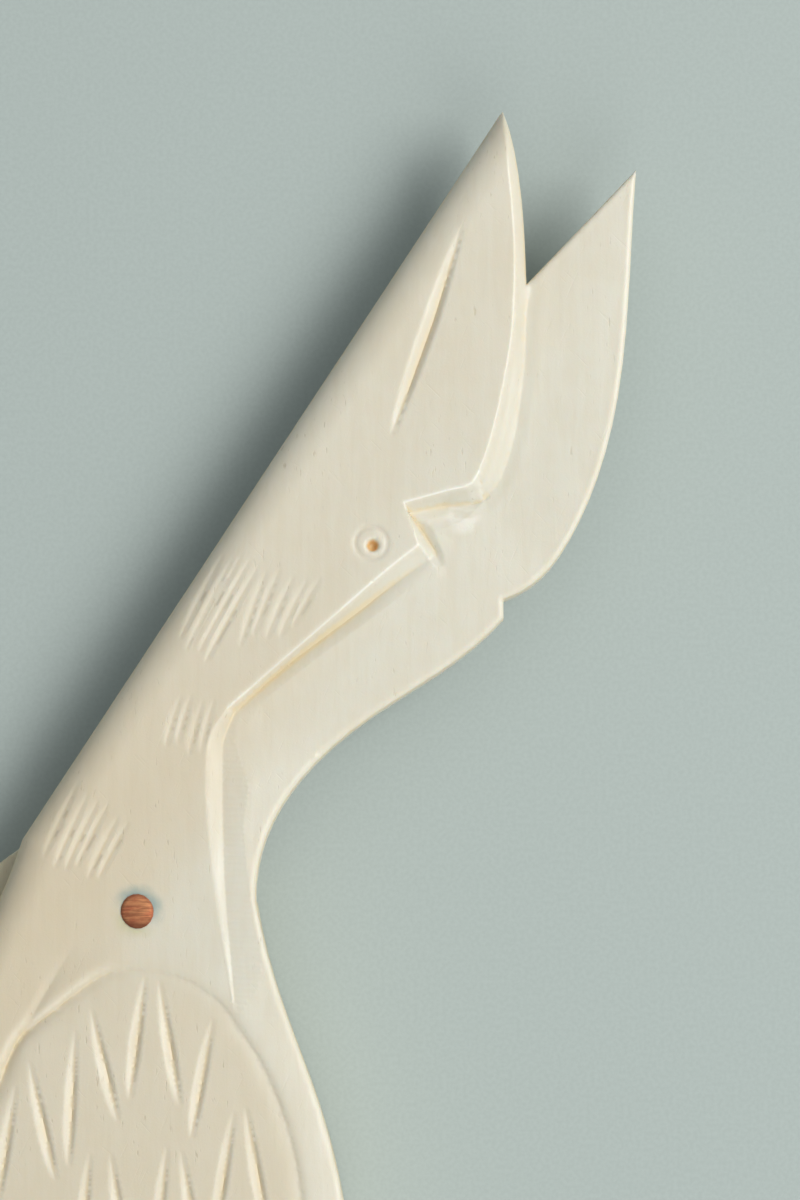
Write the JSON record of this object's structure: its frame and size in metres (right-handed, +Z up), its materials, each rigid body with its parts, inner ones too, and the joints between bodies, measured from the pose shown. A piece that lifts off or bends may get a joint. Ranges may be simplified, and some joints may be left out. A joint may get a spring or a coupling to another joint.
{
  "type": "folding bone folder",
  "caption": "Pocket bone folder carved as a long-beaked bird: two bone scales hold a folding bone blade that turns on a copper rivet.",
  "frame": {"origin": "on the flat back of the rear scale, at the middle of the bird's body, 28 mm below the pivot rivet", "axes": "+Z up from the flat back through the carved face, +Y along the body towards the head, +X to the side the beak leans to"},
  "size_m": [0.0587, 0.16, 0.0099],
  "materials": {
    "carved_bone": "satin polished bone, creamy white",
    "plain_bone": "satin polished bone, slightly yellower",
    "copper": "filed copper, slightly tarnished",
    "washer_metal": "plain brass"
  },
  "bodies": {
    "handle": {"front_scale": "carved_bone", "rear_scale": "plain_bone", "spacer": "plain_bone", "front_washer": "washer_metal", "rear_washer": "washer_metal", "pivot_rivet": "copper", "breast_pin": "copper", "belly_pin": "copper", "tail_pin": "copper"},
    "blade": {"folding_blade": "plain_bone"}
  },
  "joints": [
    {"name": "blade_pivot", "type": "hinge", "parent": "handle", "child": "blade", "pos_m": [0, 0.028, 0.0043], "axis": [0, 0, -1], "range_deg": [0, 180]}
  ]
}
